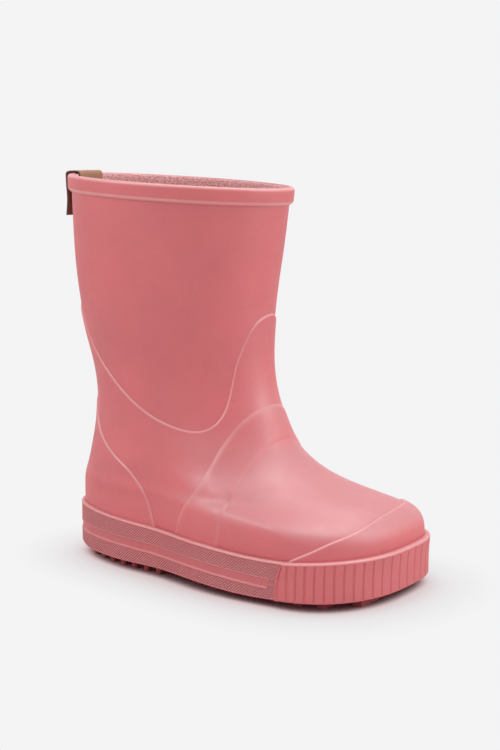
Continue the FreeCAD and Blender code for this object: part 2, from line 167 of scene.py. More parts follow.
def outlines(shape, angle):
    """Points of horizontal sections; angle 0 is the front, 90 degrees the inner side."""
    heel, front, half_width, widest, power, foot = shape
    c = np.cos(angle)
    s = np.sin(angle)
    inner = s > 0
    ahead = c >= 0
    fullness = np.where(inner, INNER_FULLNESS, 0.0) * foot
    along = np.where(ahead, power + fullness, 2 + HEEL_ROUNDNESS * foot)
    across = np.where(ahead, 2 + TOE_FULLNESS * foot + fullness, 2 + HEEL_ROUNDNESS * foot)
    reach = np.where(ahead, front - widest, widest - heel)
    x = widest + signed_power(c, 2 / along) * reach
    width = half_width + SIDE_DIFFERENCE * foot * np.where(inner, -1.0, 1.0)
    y = signed_power(s, 2 / across) * width
    t = np.clip((widest - x) / (widest - heel), 0, 1)
    y *= 1 - HEEL_TAPER * foot * (3 * t ** 2 - 2 * t ** 3)
    y -= np.sign(s) * WAIST_DEPTH * foot * np.abs(s) * np.exp(-((x - WAIST_X) / WAIST_SPREAD) ** 2)
    y += TOE_TURN * foot * (np.maximum(x, 0) / (SOLE_LENGTH / 2)) ** 2
    return x, y


ROW_STEP = 0.025            # rows per section of the fine table of surface points
COLUMNS = 1440              # its columns around the boot, from the front


def surface_table():
    """Points of the carcass surface: rows up the boot, columns at even distances around it."""
    s = np.arange(0, len(SECTIONS) - 1 + ROW_STEP / 2, ROW_STEP)
    values = natural_spline(np.arange(len(SECTIONS)), SECTIONS)(s)
    values[:, 6] = np.clip(values[:, 6], 0, 1)
    angles = np.linspace(0, 2 * math.pi, COLUMNS + 1)[None, :]
    x, y = outlines([values[:, k:k + 1] for k in range(1, 7)], angles)
    table = np.empty((len(s), COLUMNS, 3))
    for row in range(len(s)):
        steps = np.hypot(np.diff(x[row]), np.diff(y[row]))
        travelled = np.concatenate([[0.0], np.cumsum(steps)])
        even = travelled[-1] * np.arange(COLUMNS) / COLUMNS
        table[row, :, 0] = np.interp(even, travelled, x[row])
        table[row, :, 1] = np.interp(even, travelled, y[row])
        table[row, :, 2] = values[row, 0]
    return s, table


ROW_S, POINTS = surface_table()
ALONG_U = (np.roll(POINTS, -1, axis=1) - np.roll(POINTS, 1, axis=1)) / 2
ALONG_S = np.gradient(POINTS, axis=0)
NORMALS = np.cross(ALONG_U, ALONG_S)
NORMALS /= np.linalg.norm(NORMALS, axis=2, keepdims=True)
ROW_Z = POINTS[:, 0, 2]
FRONT_ARC = np.concatenate([[0.0], np.cumsum(np.linalg.norm(np.diff(POINTS[:, 0], axis=0), axis=1))])


def sampled(table, s, u):
    """Values of a table at spline position s and fraction u of the way around."""
    row = np.clip(s / ROW_STEP, 0, len(ROW_S) - 1.001)
    column = (u % 1.0) * COLUMNS
    r = row.astype(int)
    c = column.astype(int) % COLUMNS
    c_next = (c + 1) % COLUMNS
    fr = row - r
    fc = column - np.floor(column)
    if table.ndim == 3:
        fr = fr[..., None]
        fc = fc[..., None]
    low = table[r, c] * (1 - fc) + table[r, c_next] * fc
    high = table[r + 1, c] * (1 - fc) + table[r + 1, c_next] * fc
    return low * (1 - fr) + high * fr


def on_surface(s, u, out):
    """Points at a distance out from the carcass surface."""
    s, u, out = np.broadcast_arrays(np.asarray(s, float), np.asarray(u, float), np.asarray(out, float))
    normal = sampled(NORMALS, s, u)
    normal = normal / np.linalg.norm(normal, axis=-1, keepdims=True)
    return sampled(POINTS, s, u) + normal * out[..., None]


def s_at_height(z):
    return np.interp(z, ROW_Z, ROW_S)


RIM_DROP = RIM_HEIGHT + RIM_SLOPE * (POINTS[..., 0] - RIM_MIDDLE_X) - POINTS[..., 2]


def s_under_rim(u, drop):
    """Spline position at fraction u where the surface is drop below the opening's plane."""
    low = int(s_at_height(120.0) / ROW_STEP)
    depths = RIM_DROP[low:][::-1]
    found = [np.interp(drop, depths[:, c], ROW_S[low:][::-1]) for c in range(COLUMNS)]
    return np.interp((u % 1.0) * COLUMNS, np.arange(COLUMNS + 1), found + found[:1])


def rows_between(s_low, s_high, step):
    """Spline positions whose distances along the front line are even."""
    low, high = np.interp([s_low, s_high], ROW_S, FRONT_ARC)
    count = max(2, math.ceil((high - low) / step) + 1)
    return np.interp(np.linspace(low, high, count), FRONT_ARC, ROW_S)


def level_line(points):
    """Height as a smooth function of x, through (x, z) points."""
    line_x, line_z = side_curve(points)
    return lambda x: np.interp(x, line_x, line_z)


wall_top = level_line(WALL_TOP)
wall_foot = level_line(WALL_FOOT)
channel_middle = level_line(CHANNEL_MIDDLE)


def smooth_step(value, low, high):
    t = np.clip((value - low) / (high - low), 0, 1)
    return t * t * (3 - 2 * t)


# ---- mesh helpers ----------------------------------------------------------------
def grid_faces(rows, columns, wrap_rows=False, wrap_columns=False):
    """Quads of a grid of points; they face outwards if columns run round and rows run up."""
    r = np.arange(rows if wrap_rows else rows - 1)[:, None]
    c = np.arange(columns if wrap_columns else columns - 1)[None, :]
    r_next = (r + 1) % rows
    c_next = (c + 1) % columns
    quads = [r * columns + c, r * columns + c_next, r_next * columns + c_next, r_next * columns + c]
    return np.stack(np.broadcast_arrays(*quads), axis=-1).reshape(-1, 4).tolist()


def make_piece(name, points, faces, material, body="boot", uv=None):
    """An object of the given points in millimetres; it rides on a body."""
    mesh = bpy.data.meshes.new(name)
    mesh.from_pydata((np.asarray(points).reshape(-1, 3) * MM).tolist(), [], faces)
    mesh.polygons.foreach_set("use_smooth", [True] * len(mesh.polygons))
    if uv is not None:
        layer = mesh.uv_layers.new(name="Cloth")
        corners = np.empty(len(mesh.loops), int)
        mesh.loops.foreach_get("vertex_index", corners)
        layer.data.foreach_set("uv", np.asarray(uv).reshape(-1, 2)[corners].ravel())
    mesh.materials.append(material)
    obj = bpy.data.objects.new(name, mesh)
    bpy.context.scene.collection.objects.link(obj)
    if body:
        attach(obj, body)
    return obj


def paint(piece, name, values):
    """A number for each of the piece's points, for its material to read."""
    layer = piece.data.attributes.new(name, "FLOAT", "POINT")
    layer.data.foreach_set("value", values.ravel())


def ring_solid(rows):
    """Faces of a solid ring: rows is the closed section, columns run round the boot."""
    return grid_faces(len(rows), rows.shape[1], wrap_rows=True, wrap_columns=True)


def capped_tube(rows):
    """Faces of a tube of points closed by a face at each end."""
    count, around = rows.shape[:2]
    faces = grid_faces(count, around, wrap_columns=True)
    faces.append(list(range(around))[::-1])
    faces.append([(count - 1) * around + k for k in range(around)])
    return faces


def capped_strip(rows):
    """Faces of a bar: rows is its closed section, columns run along it."""
    section, along = rows.shape[:2]
    faces = grid_faces(section, along, wrap_rows=True)
    faces.append([k * along for k in range(section)])
    faces.append([k * along + along - 1 for k in range(section)][::-1])
    return faces


# ---- materials -------------------------------------------------------------------
def node(tree, kind, inputs=None, **settings):
    """Add a shader node; inputs maps its sockets to values or to other nodes' sockets."""
    made = tree.nodes.new(kind)
    for key, value in settings.items():
        setattr(made, key, value)
    for key, value in (inputs or {}).items():
        if isinstance(value, bpy.types.NodeSocket):
            tree.links.new(value, made.inputs[key])
        else:
            made.inputs[key].default_value = value
    return made


def noise(tree, coordinates, scale, detail=2.0, roughness=0.5):
    inputs = {"Vector": coordinates, "Scale": scale, "Detail": detail, "Roughness": roughness}
    return node(tree, "ShaderNodeTexNoise", inputs).outputs["Fac"]


def calculate(tree, operation, a, b=0.0):
    return node(tree, "ShaderNodeMath", {0: a, 1: b}, operation=operation).outputs[0]


def remap(tree, value, from_low, from_high, to_low, to_high):
    inputs = {"Value": value, "From Min": from_low, "From Max": from_high,
              "To Min": to_low, "To Max": to_high}
    return node(tree, "ShaderNodeMapRange", inputs).outputs["Result"]


def mixed(tree, factor, a, b):
    """Colour between a and b; each is an (r, g, b) or a socket."""
    inputs = {0: factor}
    for key, colour in ((6, a), (7, b)):
        inputs[key] = colour if isinstance(colour, bpy.types.NodeSocket) else (*colour, 1.0)
    return node(tree, "ShaderNodeMix", inputs, data_type="RGBA").outputs[2]


def bump(tree, height, strength, distance, below=None):
    inputs = {"Height": height, "Strength": strength, "Distance": distance}
    if below is not None:
        inputs["Normal"] = below
    return node(tree, "ShaderNodeBump", inputs).outputs["Normal"]


def new_material(name, **constants):
    """A material with its shader and object coordinates; constants are shader inputs."""
    material = bpy.data.materials.new(name)
    material.use_nodes = True
    tree = material.node_tree
    shader = tree.nodes["Principled BSDF"]
    for key, value in constants.items():
        shader.inputs[key.replace("_", " ")].default_value = value
    coordinates = node(tree, "ShaderNodeTexCoord").outputs["Object"]
    return material, tree, shader, coordinates


def scaled(colour, factor):
    return tuple(channel * factor for channel in colour)


PINK = (0.60, 0.078, 0.090)
PAINTED_TOP_SHEEN = (0.55, 0.170, 0.184)        # painted sheen: rubber facing up is paler, standing in for the reflection of the light above
PAINTED_EDGE_HIGHLIGHT = (0.88, 0.44, 0.42)      # painted highlight: rubber made pale along its moulded edges, as if catching the light


def rubber(name, colour, low_roughness, high_roughness):
    """Satin moulded rubber: faint mottling, a few dark specks and a very fine grain; painted sheen on faces
    turned up, painted shade in recesses and painted highlights along edges.
    """
    material, tree, shader, place = new_material(name, IOR=1.65, Specular_IOR_Level=1.0)
    cloud = noise(tree, place, 38.0, 3.0)
    grain = noise(tree, place, 850.0, 3.0, 0.6)
    shade = calculate(tree, "ADD", calculate(tree, "MULTIPLY", cloud, 0.6),
                      calculate(tree, "MULTIPLY", grain, 0.4))
    body = mixed(tree, remap(tree, shade, 0.35, 0.65, 0.0, 1.0), scaled(colour, 0.93), scaled(colour, 1.07))
    cells = node(tree, "ShaderNodeTexVoronoi", {"Vector": place, "Scale": 110.0})
    near = remap(tree, cells.outputs["Distance"], 0.025, 0.05, 1.0, 0.0)
    chosen = calculate(tree, "GREATER_THAN", cells.outputs["Color"], 0.72)
    speck = calculate(tree, "MULTIPLY", near, calculate(tree, "MULTIPLY", chosen, 0.55))
    spotted = mixed(tree, speck, body, scaled(colour, 0.25))
    painted_recess_shade = node(tree, "ShaderNodeAttribute", attribute_name="painted_recess_shade").outputs["Fac"]
    facing = node(tree, "ShaderNodeNewGeometry").outputs["Normal"]
    upward = node(tree, "ShaderNodeSeparateXYZ", {0: facing}).outputs["Z"]
    # painted sheen: faces turned up are mixed towards the pale top-sheen colour
    top_sheened = mixed(tree, remap(tree, upward, 0.15, 0.7, 0.0, 1.0), spotted, PAINTED_TOP_SHEEN)
    # painted shade: points marked as recessed are darkened towards 0.4 of the colour
    sunk = mixed(tree, painted_recess_shade, top_sheened, scaled(colour, 0.4))
    # painted highlight: points marked along moulded edges are mixed towards the pale edge colour
    edge = node(tree, "ShaderNodeAttribute", attribute_name="edge").outputs["Fac"]
    tree.links.new(mixed(tree, edge, sunk, PAINTED_EDGE_HIGHLIGHT), shader.inputs["Base Color"])
    gloss = remap(tree, noise(tree, place, 130.0, 4.0, 0.6), 0.3, 0.7, low_roughness, high_roughness)
    tree.links.new(gloss, shader.inputs["Roughness"])
    waves = bump(tree, noise(tree, place, 55.0, 1.0), 0.35, 0.0006)
    pits = bump(tree, noise(tree, place, 1700.0, 2.0), 0.22, 0.00012, waves)
    tree.links.new(pits, shader.inputs["Normal"])
    return material


def crevice(tree, distance, power):
    """1 in the open, falling to 0 deep in a gap narrower than distance."""
    open_share = node(tree, "ShaderNodeAmbientOcclusion", {"Distance": distance}, samples=12).outputs["AO"]
    return calculate(tree, "POWER", open_share, power)


def tread_rubber():
    """The sole's rubber underneath, with painted shade darkening it where it is hidden from light."""
    material, tree, shader, place = new_material("tread_rubber", Roughness=0.62)
    cloud = noise(tree, place, 60.0, 3.0)
    body = mixed(tree, cloud, scaled(PINK, 0.95), scaled(PINK, 1.15))
    # painted shade: closed-in places are darkened towards a fifth of the pink
    occlusion_shaded = mixed(tree, crevice(tree, 0.009, 0.8), scaled(PINK, 0.2), body)
    tree.links.new(occlusion_shaded, shader.inputs["Base Color"])
    tree.links.new(bump(tree, noise(tree, place, 1500.0, 2.0), 0.25, 0.00012), shader.inputs["Normal"])
    return material


def knit(name, pink, pale):
    """Heathered knit: V-shaped stitches in wales, from the cloth's own flat coordinates."""
    material, tree, shader, _ = new_material(name, Roughness=0.9, Sheen_Weight=0.35)
    flat = node(tree, "ShaderNodeUVMap", uv_map="Cloth").outputs["UV"]
    split = node(tree, "ShaderNodeSeparateXYZ", {0: flat})
    across = calculate(tree, "MULTIPLY", split.outputs["X"], 1 / 1.25)
    along = calculate(tree, "MULTIPLY", split.outputs["Y"], 1 / 1.05)
    side = calculate(tree, "ABSOLUTE", calculate(tree, "SUBTRACT", calculate(tree, "FRACT", across), 0.5))
    lean = calculate(tree, "ADD", along, calculate(tree, "MULTIPLY", side, 1.1))
    loops = calculate(tree, "SINE", calculate(tree, "MULTIPLY", lean, 2 * math.pi))
    wales = calculate(tree, "SINE", calculate(tree, "MULTIPLY", side, 2 * math.pi))
    height = calculate(tree, "ADD", calculate(tree, "MULTIPLY", loops, 0.3),
                       calculate(tree, "MULTIPLY", wales, 0.7))
    stretched = node(tree, "ShaderNodeMapping", {"Vector": flat, "Scale": (0.7, 1.5, 1.0)}).outputs[0]
    fibres = noise(tree, stretched, 0.9, 3.0, 0.6)
    heather = mixed(tree, remap(tree, fibres, 0.42, 0.58, 0.0, 1.0), pink, pale)
    # painted shade: the low parts of the stitches are darkened towards half the pink
    deep = remap(tree, height, -0.4, 0.5, 0.55, 0.0)
    tree.links.new(mixed(tree, deep, heather, scaled(pink, 0.5)), shader.inputs["Base Color"])
    tree.links.new(bump(tree, height, 0.8, 0.0004), shader.inputs["Normal"])
    return material


def leather():
    """Tan on the face that lies lit inside over the rim, brown on the other face and on the hanging tail:
    painted light and shade on one leather; dark and rough on the cut edges.
    """
    material, tree, shader, place = new_material("leather")
    side = node(tree, "ShaderNodeAttribute", attribute_name="leather_lit_share").outputs["Fac"]
    edge = node(tree, "ShaderNodeAttribute", attribute_name="leather_edge").outputs["Fac"]
    cloud = noise(tree, place, 180.0, 4.0, 0.65)
    tan = mixed(tree, cloud, (0.27, 0.125, 0.065), (0.40, 0.20, 0.11))
    brown = mixed(tree, cloud, (0.17, 0.065, 0.040), (0.29, 0.125, 0.08))
    # painted light and shade: tan where the strip lies lit inside over the rim, brown where it is in shade
    skin = mixed(tree, side, brown, tan)
    tree.links.new(mixed(tree, edge, skin, (0.085, 0.035, 0.028)), shader.inputs["Base Color"])
    tree.links.new(remap(tree, cloud, 0.3, 0.7, 0.48, 0.68), shader.inputs["Roughness"])
    grain = node(tree, "ShaderNodeTexVoronoi", {"Vector": place, "Scale": 1500.0}).outputs["Distance"]
    tree.links.new(bump(tree, grain, 0.5, 0.00015), shader.inputs["Normal"])
    return material


def thread():
    material, tree, shader, place = new_material("thread", Roughness=0.75)
    twist = node(tree, "ShaderNodeTexWave", {"Vector": place, "Scale": 700.0, "Distortion": 1.0},
                 bands_direction="DIAGONAL").outputs["Fac"]
    tree.links.new(mixed(tree, twist, (0.20, 0.10, 0.06), (0.48, 0.30, 0.19)), shader.inputs["Base Color"])
    tree.links.new(bump(tree, twist, 0.7, 0.0002), shader.inputs["Normal"])
    return material


def foam():
    material, tree, shader, place = new_material("foam", Roughness=0.85)
    pores = node(tree, "ShaderNodeTexVoronoi", {"Vector": place, "Scale": 900.0}).outputs["Distance"]
    body = mixed(tree, noise(tree, place, 90.0, 3.0), (0.80, 0.76, 0.72), (0.90, 0.87, 0.84))
    # painted shade: the pores are darkened
    depth = remap(tree, pores, 0.1, 0.5, 0.6, 0.0)
    tree.links.new(mixed(tree, depth, body, (0.50, 0.45, 0.42)), shader.inputs["Base Color"])
    tree.links.new(bump(tree, pores, 0.8, 0.0004), shader.inputs["Normal"])
    return material


def board():
    material, tree, shader, place = new_material("board", Roughness=0.88)
    fibres = noise(tree, place, 420.0, 6.0, 0.7)
    tree.links.new(mixed(tree, fibres, (0.36, 0.27, 0.18), (0.66, 0.55, 0.42)), shader.inputs["Base Color"])
    tree.links.new(bump(tree, fibres, 0.6, 0.0002), shader.inputs["Normal"])
    return material


def crumb_rubber():
    material, tree, shader, place = new_material("crumb_rubber", Roughness=0.82)
    cells = node(tree, "ShaderNodeTexVoronoi", {"Vector": place, "Scale": 480.0})
    tree.links.new(mixed(tree, cells.outputs["Color"], (0.05, 0.045, 0.045), (0.22, 0.19, 0.19)),
                   shader.inputs["Base Color"])
    tree.links.new(bump(tree, cells.outputs["Distance"], 0.7, 0.0004), shader.inputs["Normal"])
    return material


UPPER = rubber("upper_rubber", PINK, 0.46, 0.58)
SOLE = rubber("sole_rubber", scaled(PINK, 0.97), 0.46, 0.58)
TREAD = tread_rubber()
KNIT_PINK = (0.70, 0.22, 0.24)
KNIT_PALE = (0.95, 0.60, 0.58)
LINING_KNIT = knit("knit_lining", KNIT_PINK, KNIT_PALE)
COVER_KNIT = knit("knit_cover", KNIT_PINK, KNIT_PALE)
LEATHER = leather()
THREAD = thread()
FOAM = foam()
BOARD = board()
CRUMB = crumb_rubber()


# ---- upper -----------------------------------------------------------------------
def boot_shell():
    """The carcass: outside surface, rim, inside surface and floor."""
    around = 400
    u = np.arange(around) / around
    low = s_at_height(11.0)
    join = s_at_height(150.0)
    under_band = s_under_rim(u, 1.4)
    body_rows = [np.full(around, s) for s in rows_between(low, join, 1.25)]
    top_rows = [join + (under_band - join) * t for t in np.linspace(0, 1, 31)[1:]]
    rows = body_rows + top_rows
    outside = [on_surface(s, u, 0.0) for s in rows]
    inner_floor = s_at_height(12.6)
    inside = [on_surface(s, u, -CARCASS) for s in rows[::-2] if s[0] > inner_floor]
    floor_row = on_surface(np.full(around, inner_floor), u, -CARCASS)
    points = np.array(outside + inside + [floor_row])
    piece = make_piece("boot_shell", points, capped_tube(points), UPPER)
    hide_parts("inner_boot")


def field_from(difference):
    """Distance on the surface to where difference is zero, positive where it is positive."""
    f_s = np.gradient(difference, axis=0)
    f_u = (np.roll(difference, -1, axis=1) - np.roll(difference, 1, axis=1)) / 2
    e = np.sum(ALONG_S * ALONG_S, axis=2)
    f = np.sum(ALONG_S * ALONG_U, axis=2)
    g = np.sum(ALONG_U * ALONG_U, axis=2)
    slope = np.sqrt(np.maximum((g * f_s ** 2 - 2 * f * f_s * f_u + e * f_u ** 2) / (e * g - f ** 2), 1e-9))
    return np.clip(difference / slope, -30, 30)


def height_under(curve_points, x, z):
    curve_x, curve_z = side_curve(curve_points)
    return field_from(np.interp(x, curve_x, curve_z) - z)


def ahead_of(curve_points, x, z):
    curve_x, curve_z = side_curve(curve_points)
    return field_from(x - np.interp(z, curve_z, curve_x))


def rounded_edge(distance, height, width):
    """Height of a moulded panel: it starts under the surface and rounds over to its top."""
    sink, lead = 0.3, 0.22
    t = np.clip((distance + lead) / (width + lead), 0, 1)
    return -sink + (height + sink) * np.sin(t * math.pi / 2)


def soft_edge(distance, height, width):
    sink, lead = 0.25, 0.5
    return -sink + (height + sink) * smooth_step(distance, -lead, width)


WALL_OVERLAP = 1.0          # how far the upper panels reach down behind the sole wall
EDGE_ZONE = 2.4             # on both sides of a panel's edge, where its mesh is fine


def flat_panel(columns, rows, field, margin, floor_z):
    """Panel faces in (u, s) coordinates, fine near the field's zero line, none outside it."""
    u, s = np.meshgrid(columns, rows)
    flat = np.stack([u, s, np.zeros_like(u)], axis=-1).reshape(-1, 3)
    mesh = bpy.data.meshes.new("flat")
    mesh.from_pydata(flat.tolist(), [], grid_faces(len(rows), len(columns)))
    work = bmesh.new()
    work.from_mesh(mesh)
    distance = sampled(field, flat[:, 1], flat[:, 0])
    near = np.abs(distance) < EDGE_ZONE
    work.verts.ensure_lookup_table()
    edges = [edge for edge in work.edges if near[edge.verts[0].index] or near[edge.verts[1].index]]
    bmesh.ops.subdivide_edges(work, edges=edges, cuts=4, use_grid_fill=True)
    work.to_mesh(mesh)
    work.free()
    points = np.empty(len(mesh.vertices) * 3)
    mesh.vertices.foreach_get("co", points)
    points = points.reshape(-1, 3)
    # A sheet that goes all the way round is closed on itself at the back.
    points[points[:, 0] > columns[0] + 1 - 1e-6, 0] = columns[0]
    points, same = np.unique(points, axis=0, return_inverse=True)
    same = same.reshape(-1)
    distance = sampled(field, points[:, 1], points[:, 0])
    place = sampled(POINTS, points[:, 1], points[:, 0])
    keep = distance > -margin
    if floor_z > 0:
        keep &= place[:, 2] > np.maximum(wall_top(place[:, 0]) - WALL_OVERLAP, floor_z)
    faces = [same[list(face.vertices)].tolist() for face in mesh.polygons]
    faces = [face for face in faces if keep[face].any()]
    bpy.data.meshes.remove(mesh)
    used = np.unique(np.concatenate([np.array(face) for face in faces]))
    renumber = np.full(len(points), -1)
    renumber[used] = np.arange(len(used))
    return points[used, 0], points[used, 1], distance[used], [renumber[face].tolist() for face in faces]


def closed_skin(outside, inside, faces):
    """Two copies of a sheet of faces, joined along its border."""
    count = len(outside)
    once = {}
    for face in faces:
        for a, b in zip(face, face[1:] + face[:1]):
            if (b, a) in once:
                del once[(b, a)]
            else:
                once[(a, b)] = True
    under = [[count + k for k in face[::-1]] for face in faces]
    border = [[b, a, count + a, count + b] for a, b in once]
    return np.vstack([outside, inside]), faces + under + border


def relief_panel(name, columns, z_range, field, base, profile, margin, floor_z=0.0,
                 edge=0.32, highlight_width=0.85):
    """A raised panel: closed, sunk a little into what it lies on, with a rounded edge that carries a painted
    highlight.
    """
    rows = rows_between(*s_at_height(np.array(z_range, float)), 1.25)
    u, s, distance, faces = flat_panel(columns, rows, field, margin, floor_z)
    outside = on_surface(s, u, base + profile(distance))
    inside = on_surface(s, u, base - 0.4)
    points, faces = closed_skin(outside, inside, faces)
    piece = make_piece(name, points, faces, UPPER)
    # painted highlight: a pale stripe along the panel's rounded edge
    pale = edge * np.exp(-((distance / highlight_width - 0.5) / 0.55) ** 2)
    paint(piece, "edge", np.concatenate([pale, np.zeros(len(pale))]))
    work = bmesh.new()
    work.from_mesh(piece.data)
    bmesh.ops.remove_doubles(work, verts=work.verts, dist=1e-7)
    work.to_mesh(piece.data)
    work.free()
    return piece


def panels():
    x, y, z = POINTS[..., 0], POINTS[..., 1], POINTS[..., 2]
    leg_field = height_under(LEG_EDGE, x + LEG_EDGE_SKEW * y, z)
    piece = relief_panel("foot_panel", np.linspace(-0.5, 0.5, 361), (12.0, 143.0), leg_field, 0.0,
                         lambda d: rounded_edge(d, PANEL, 1.0), 0.45)
    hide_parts("foot_overlay")
    heel_field = height_under(HEEL_EDGE, x, z)
    piece = relief_panel("heel_panel", np.linspace(0.26, 0.74, 175), (21.5, 100.0), heel_field, PANEL,
                         lambda d: rounded_edge(d, PANEL, 1.0), 0.45, 21.0)
    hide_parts("heel_counter")
    band_field = np.minimum(ahead_of(BAND_REAR, x, z), -ahead_of(BAND_FRONT, x, z))
    piece = relief_panel("instep_strip", np.linspace(-0.45, 0.45, 321), (21.5, 98.0), band_field, PANEL,
                         lambda d: soft_edge(d, 0.55, 3.8), 0.7, 21.0, edge=0.12, highlight_width=3.0)
    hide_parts("instep_band")
    toe_field = ahead_of(TOE_EDGE, x, z - TOE_EDGE_TILT * y)
    piece = relief_panel("toe_panel", np.linspace(-0.27, 0.27, 196), (21.5, 45.5), toe_field, PANEL,
                         lambda d: rounded_edge(d, PANEL, 1.0), 0.45, 21.0)
    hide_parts("toe_cap")


def rim_band():
    """The band round the opening: rolled top, flat face, chamfered lower edge."""
    around = 480
    u = np.arange(around) / around
    out = BAND_THICKNESS
    height = BAND_HEIGHT
    section = [(0.02, height - 0.05), (0.35, height), (0.55, height - 0.08), (out - 0.12, height - 1.45),
               (out, height - 1.7), (out + 0.03, height - 2.3), (out + 0.05, 5.5),
               (out + 0.03, 3.5), (out, 1.7), (out - 0.1, 1.1), (out - 0.35, 0.55), (out - 0.75, 0.18),
               (out - 1.3, 0.02), (0.0, 0.0), (-0.6, 0.05), (-1.05, 0.25), (-1.4, 0.65), (-1.58, 1.15),
               (-1.6, 1.35), (-1.5, 1.4), (0.02, 1.4)]
    rows = np.array([on_surface(s_under_rim(u, drop), u, offset) for offset, drop in section])
    piece = make_piece("rim_band", rows, ring_solid(rows), UPPER)
    # painted highlight along the rolled top and the chamfered lower edge
    pale = np.zeros(len(section))
    pale[[2, 3, 4, 9, 10, 11, 12]] = (0.3, 0.6, 0.4, 0.2, 0.45, 0.45, 0.3)
    paint(piece, "edge", np.repeat(pale[:, None], around, axis=1))
    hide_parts("top_band")


# ---- linings ---------------------------------------------------------------------
def lining_uv(rows, u):
    """Flat coordinates in millimetres: round the boot, and up it."""
    around = u * 370.0
    return np.array([np.stack([around, row[:, 2]], axis=-1) for row in rows])


def leg_lining():
    around = 360
    u = np.arange(around) / around
    bottom = s_at_height(LINING_SPLIT)
    join = s_at_height(150.0)
    top = s_under_rim(u, 0.9)
    levels = [np.full(around, s) for s in rows_between(bottom, join, 1.5)]
    levels += [join + (top - join) * t for t in np.linspace(0, 1, 31)[1:]]
    waves = 0.06 * np.sin(u * 2 * math.pi * 9) + 0.05 * np.sin(u * 2 * math.pi * 23 + 1.0)
    inside = [on_surface(s, u, LINING_IN - waves * math.sin(k * 0.35)) for k, s in enumerate(levels)]
    outside = [on_surface(s, u, LINING_OUT) for s in levels]
    edge = [on_surface(s_under_rim(u, 0.6), u, (LINING_OUT + LINING_IN) / 2)]
    rows = np.array(outside + edge + inside[::-1])
    piece = make_piece("knit_leg_lining", rows, ring_solid(rows), LINING_KNIT,
                       uv=lining_uv(rows, u))
    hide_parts("leg_lining")


def foot_lining():
    around = 360
    u = np.arange(around) / around
    levels = rows_between(s_at_height(LINING_FLOOR + 0.8), s_at_height(LINING_SPLIT - 0.05), 2.0)
    seam = [LINING_IN - 0.35 * smooth_step(np.interp(s, ROW_S, ROW_Z), LINING_SPLIT - 3.0, LINING_SPLIT - 1.0)
            for s in levels]
    outside = [on_surface(np.full(around, s), u, LINING_OUT) for s in levels]
    base = on_surface(np.full(around, s_at_height(LINING_FLOOR)), u, LINING_OUT)
    inside = [on_surface(np.full(around, s), u, out) for s, out in zip(levels, seam)]
    rows = np.array([base] + outside + inside[::-1])
    piece = make_piece("knit_foot_lining", rows, capped_tube(rows), LINING_KNIT,
                       uv=lining_uv(rows, u))
    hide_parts("foot_lining")


def footbed_rows(levels):
    """Rings of the footbed's outline, each drawn in towards the middle, with its height."""
    around = 240
    u = np.arange(around) / around
    outline = on_surface(np.full(around, s_at_height(FOAM_TOP)), u, FOOTBED_EDGE)
    centre = np.array([0.0, 2.0, 0.0])
    rings = []
    for share, z in levels:
        ring = centre + (outline - centre) * share
        ring[:, 2] = z
        rings.append(ring)
    return np.array(rings)


def footbed():
    """Foam pad with rolled edges under a knit cover."""
    inward = (1.0, 0.97, 0.93, 0.85, 0.7, 0.5, 0.3, 0.12)
    bottom = [(share, FOAM_BOTTOM) for share in inward[::-1]]
    side = [(1.006, FOAM_BOTTOM + 0.8), (1.01, FOAM_BOTTOM + 2.0), (1.006, FOAM_TOP - 0.7)]
    top = [(0.995, FOAM_TOP - 0.2)] + [(share, FOAM_TOP) for share in inward[1:]]
    rows = footbed_rows(bottom + side + top)
    pad = make_piece("footbed_pad", rows, capped_tube(rows), FOAM, body="footbed")
    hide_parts("footbed_foam")
    under = [(share, FOAM_TOP + 0.02) for share in inward[::-1][:-1]] + [(0.995, FOAM_TOP - 0.1)]
    rim = [(1.006, FOAM_TOP + 0.2), (1.004, FOAM_TOP + 0.6), (0.994, COVER_TOP - 0.12)]
    over = [(0.98, COVER_TOP)] + [(share, COVER_TOP) for share in inward[2:]]
    rows = footbed_rows(under + rim + over)
    cover = make_piece("footbed_knit", rows, capped_tube(rows), COVER_KNIT, body="footbed",
                       uv=rows[..., :2])
    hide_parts("footbed_cover")


# ---- sole ------------------------------------------------------------------------
def wall_line(margin):
    """Distance travelled along the sole wall's face for each column, from the front."""
    ring = on_surface(s_at_height(13.5), np.arange(COLUMNS + 1) / COLUMNS, margin)
    steps = np.linalg.norm(np.diff(ring, axis=0), axis=1)
    return ring, np.concatenate([[0.0], np.cumsum(steps)])


def bumper_ends(margin):
    """Distances along the wall where the bumper ends on the inner and on the outer side."""
    ring, travelled = wall_line(margin)
    middle_x = (BUMPER_REAR_BOTTOM + BUMPER_REAR_TOP) / 2
    half = COLUMNS // 2
    inner = np.interp(-middle_x, -ring[:half, 0], travelled[:half])
    outer = np.interp(middle_x, ring[half:, 0], travelled[half:])
    return inner, outer, travelled


def rear_arc(z):
    """How far forward the bumper's curved rear edge is at height z, from its middle."""
    t = np.clip((z - WALL_BOTTOM) / 19.0, 0, 1.2)
    return 4.3 * t ** 2.4 - 0.95


def triangle_wave(phase):
    """0 in the grooves, 1 on the ridges, with a slightly rounded top."""
    return np.clip(np.abs((phase % 1.0) * 2 - 1) * 1.25, 0, 1)


KNURL_LEAN = math.radians(40)
KNURL_STEP = 1.65           # from ridge to ridge along the wall
KNURL_PITCH = KNURL_STEP * math.sin(KNURL_LEAN)
KNURL_DEPTH = 0.45


def knurl(along, z, x):
    """Depth of the knurling: leaning ridges, cut across more and more towards the toe."""
    across = along * math.sin(KNURL_LEAN)
    up = z * math.cos(KNURL_LEAN)
    ridges = 1 - triangle_wave((across - up) / KNURL_PITCH)
    cuts = 1 - triangle_wave((across + up) / KNURL_PITCH)
    crossing = 0.1 + 0.9 * smooth_step(x, -45.0, 35.0)
    return KNURL_DEPTH * np.maximum(ridges, cuts * crossing)


CHANNEL_FRONT = 51.2
CHANNEL_DEPTH = 0.45


